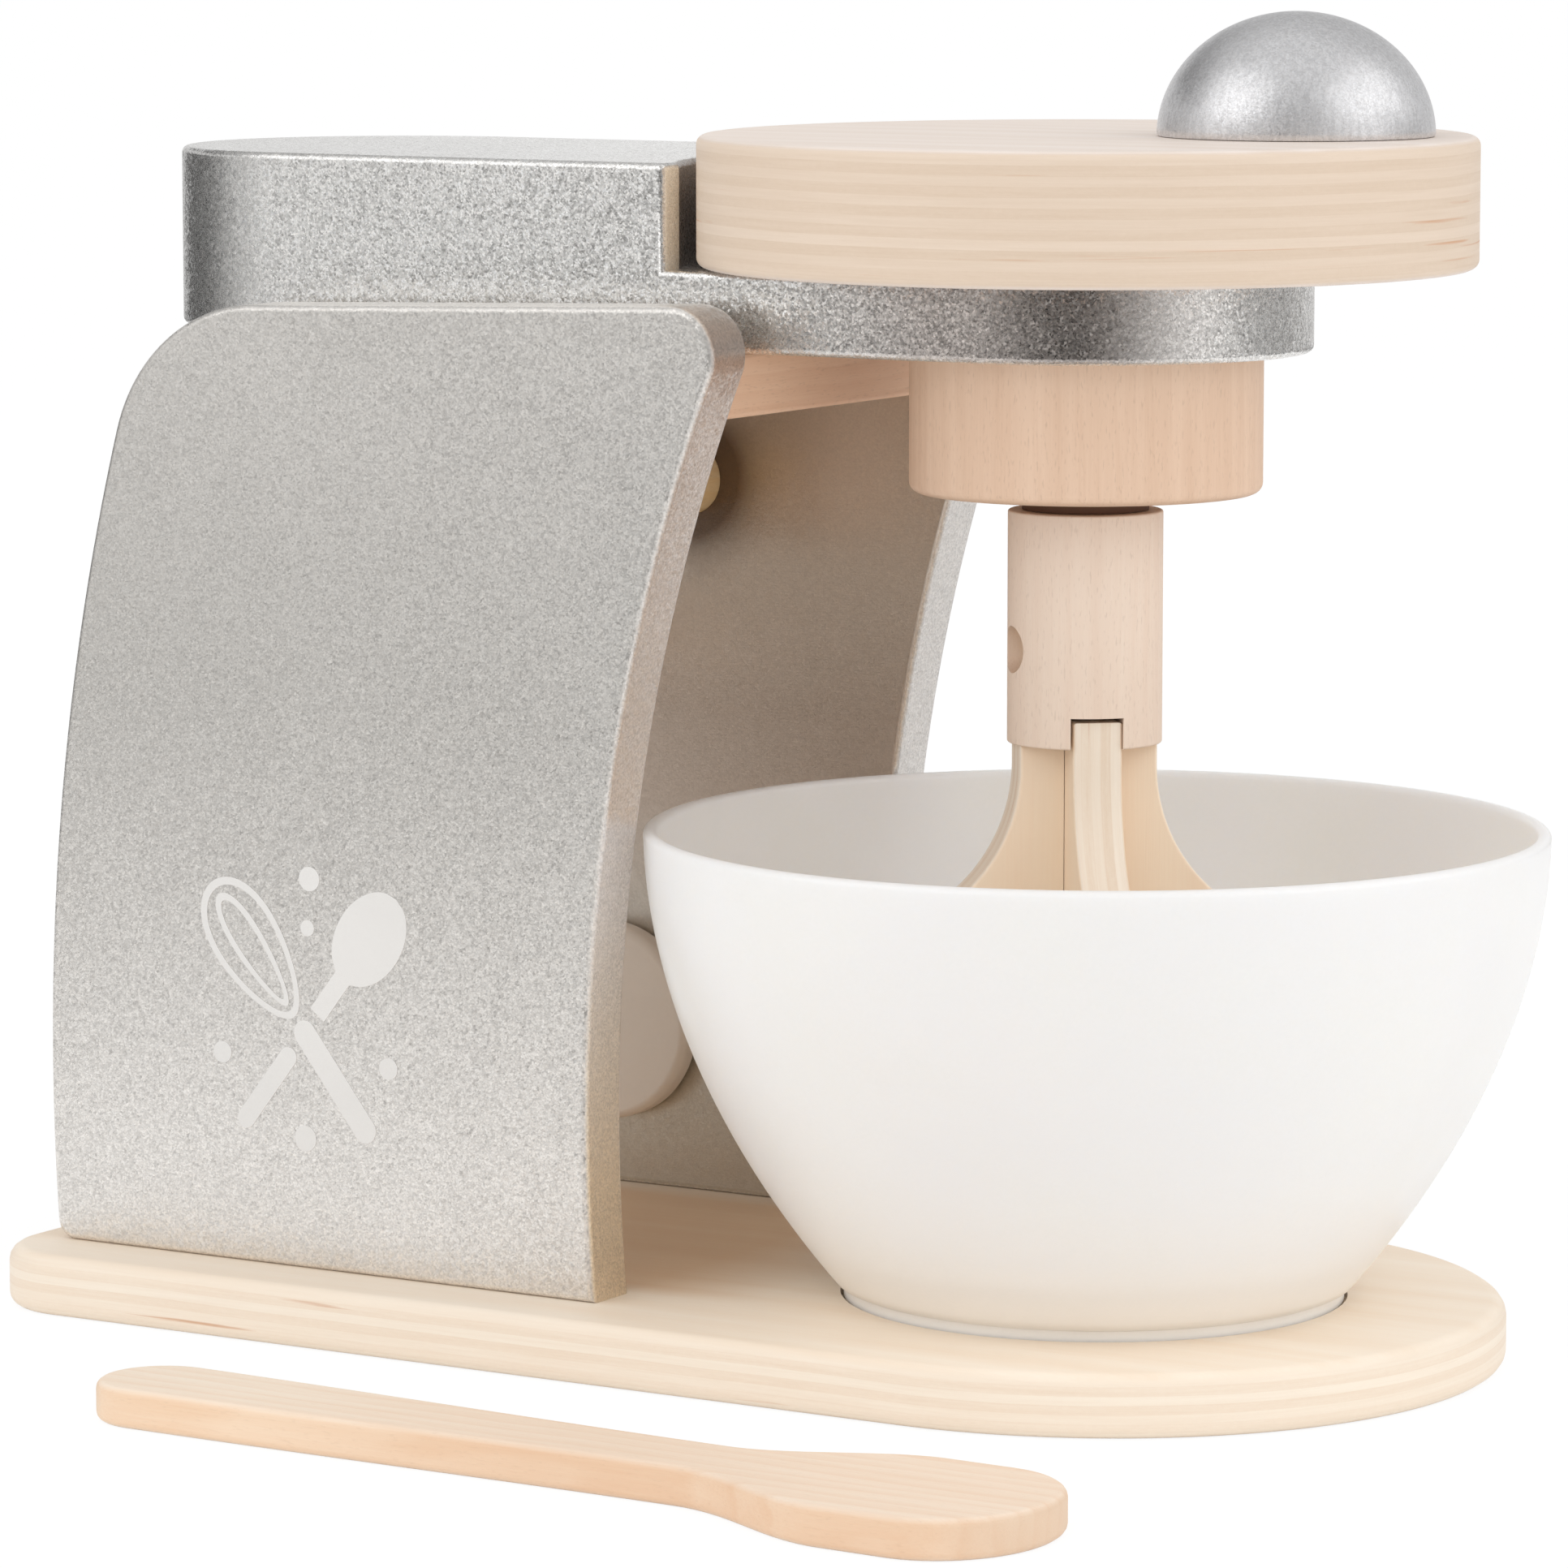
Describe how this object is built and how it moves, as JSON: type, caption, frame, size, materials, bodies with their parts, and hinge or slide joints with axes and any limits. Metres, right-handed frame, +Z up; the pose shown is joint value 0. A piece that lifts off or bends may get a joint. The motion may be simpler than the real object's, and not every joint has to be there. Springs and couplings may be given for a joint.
{
  "type": "toy stand mixer",
  "caption": "Wooden toy stand mixer: a tilting head with a hand-turned crank disc and cross beater over a loose bowl, on a base with side panels, a speed knob and a spatula.",
  "frame": {"origin": "on the underside of the base board, straight below the axis of the crank and beater", "axes": "+Z up along the beater axis, +X to the front of the mixer where the bowl and beater are, +Y to the mixer's left side, which carries the speed knob"},
  "size_m": [0.2214, 0.1889, 0.1914],
  "materials": {
    "birch_ply": "clear satin lacquer on birch plywood, its layers showing on the edges",
    "silver_paint": "silver metallic paint with a coarse sparkling flake, satin",
    "beech": "clear satin lacquer on steamed beech",
    "dowel_rod": "plain beech rod, lightly sanded",
    "blade_ply": "clear satin lacquer on beech plywood, its layers showing on the edges",
    "white_paint": "white satin paint on wood",
    "spatula_wood": "fine-sanded light wood",
    "white_bowl": "white satin plastic, faintly warm inside",
    "washer_fibre": "dark brown vulcanised fibre",
    "zinc_steel": "zinc plated",
    "dark_screw": "dark red lacquer"
  },
  "bodies": {
    "stand": {"base_board": "birch_ply", "right_side_panel": "silver_paint", "left_side_panel": "silver_paint", "head_rest_rail": "beech", "rail_dowels": "dowel_rod", "panel_dowels": "dowel_rod", "panel_screws": "zinc_steel", "tilt_stop_dowel": "dowel_rod"},
    "head": {"head": "silver_paint", "neck_block": "beech", "pivot_dowel": "dowel_rod", "neck_dowels": "dowel_rod", "collar": "beech", "collar_dowels": "dowel_rod", "disc_washer": "washer_fibre", "shaft_washer": "washer_fibre"},
    "beater": {"crank_disc": "birch_ply", "crank_knob": "silver_paint", "knob_dowel": "dowel_rod", "drive_axle": "dowel_rod", "beater_shaft": "beech", "shaft_pin": "dowel_rod", "beater_blade_a": "blade_ply", "beater_blade_b": "blade_ply"},
    "speed_knob": {"speed_knob": "white_paint", "speed_spindle": "dowel_rod", "retaining_disc": "white_paint", "retaining_screw": "dark_screw"},
    "bowl": {"bowl": "white_bowl"},
    "spatula": {"spatula": "spatula_wood"}
  },
  "joints": [
    {"name": "head_tilt", "type": "hinge", "parent": "stand", "child": "head", "pos_m": [-0.0885, 0, 0.1188], "axis": [0, -1, 0], "range_deg": [0, 72]},
    {"name": "crank_spin", "type": "hinge", "parent": "head", "child": "beater", "pos_m": [0, 0, 0.1555], "axis": [0, 0, 1], "continuous": true},
    {"name": "speed_knob_turn", "type": "hinge", "parent": "stand", "child": "speed_knob", "pos_m": [-0.10179, 0.04075, 0.0348], "axis": [0, 1, 0], "continuous": true},
    {"name": "bowl_lift", "type": "slide", "parent": "stand", "child": "bowl", "axis": [0.6, 0, 0.8], "range_m": [0, 0.008]},
    {"name": "spatula_lift", "type": "slide", "parent": "stand", "child": "spatula", "axis": [0, 0, 1], "range_m": [0, 0.1]}
  ]
}
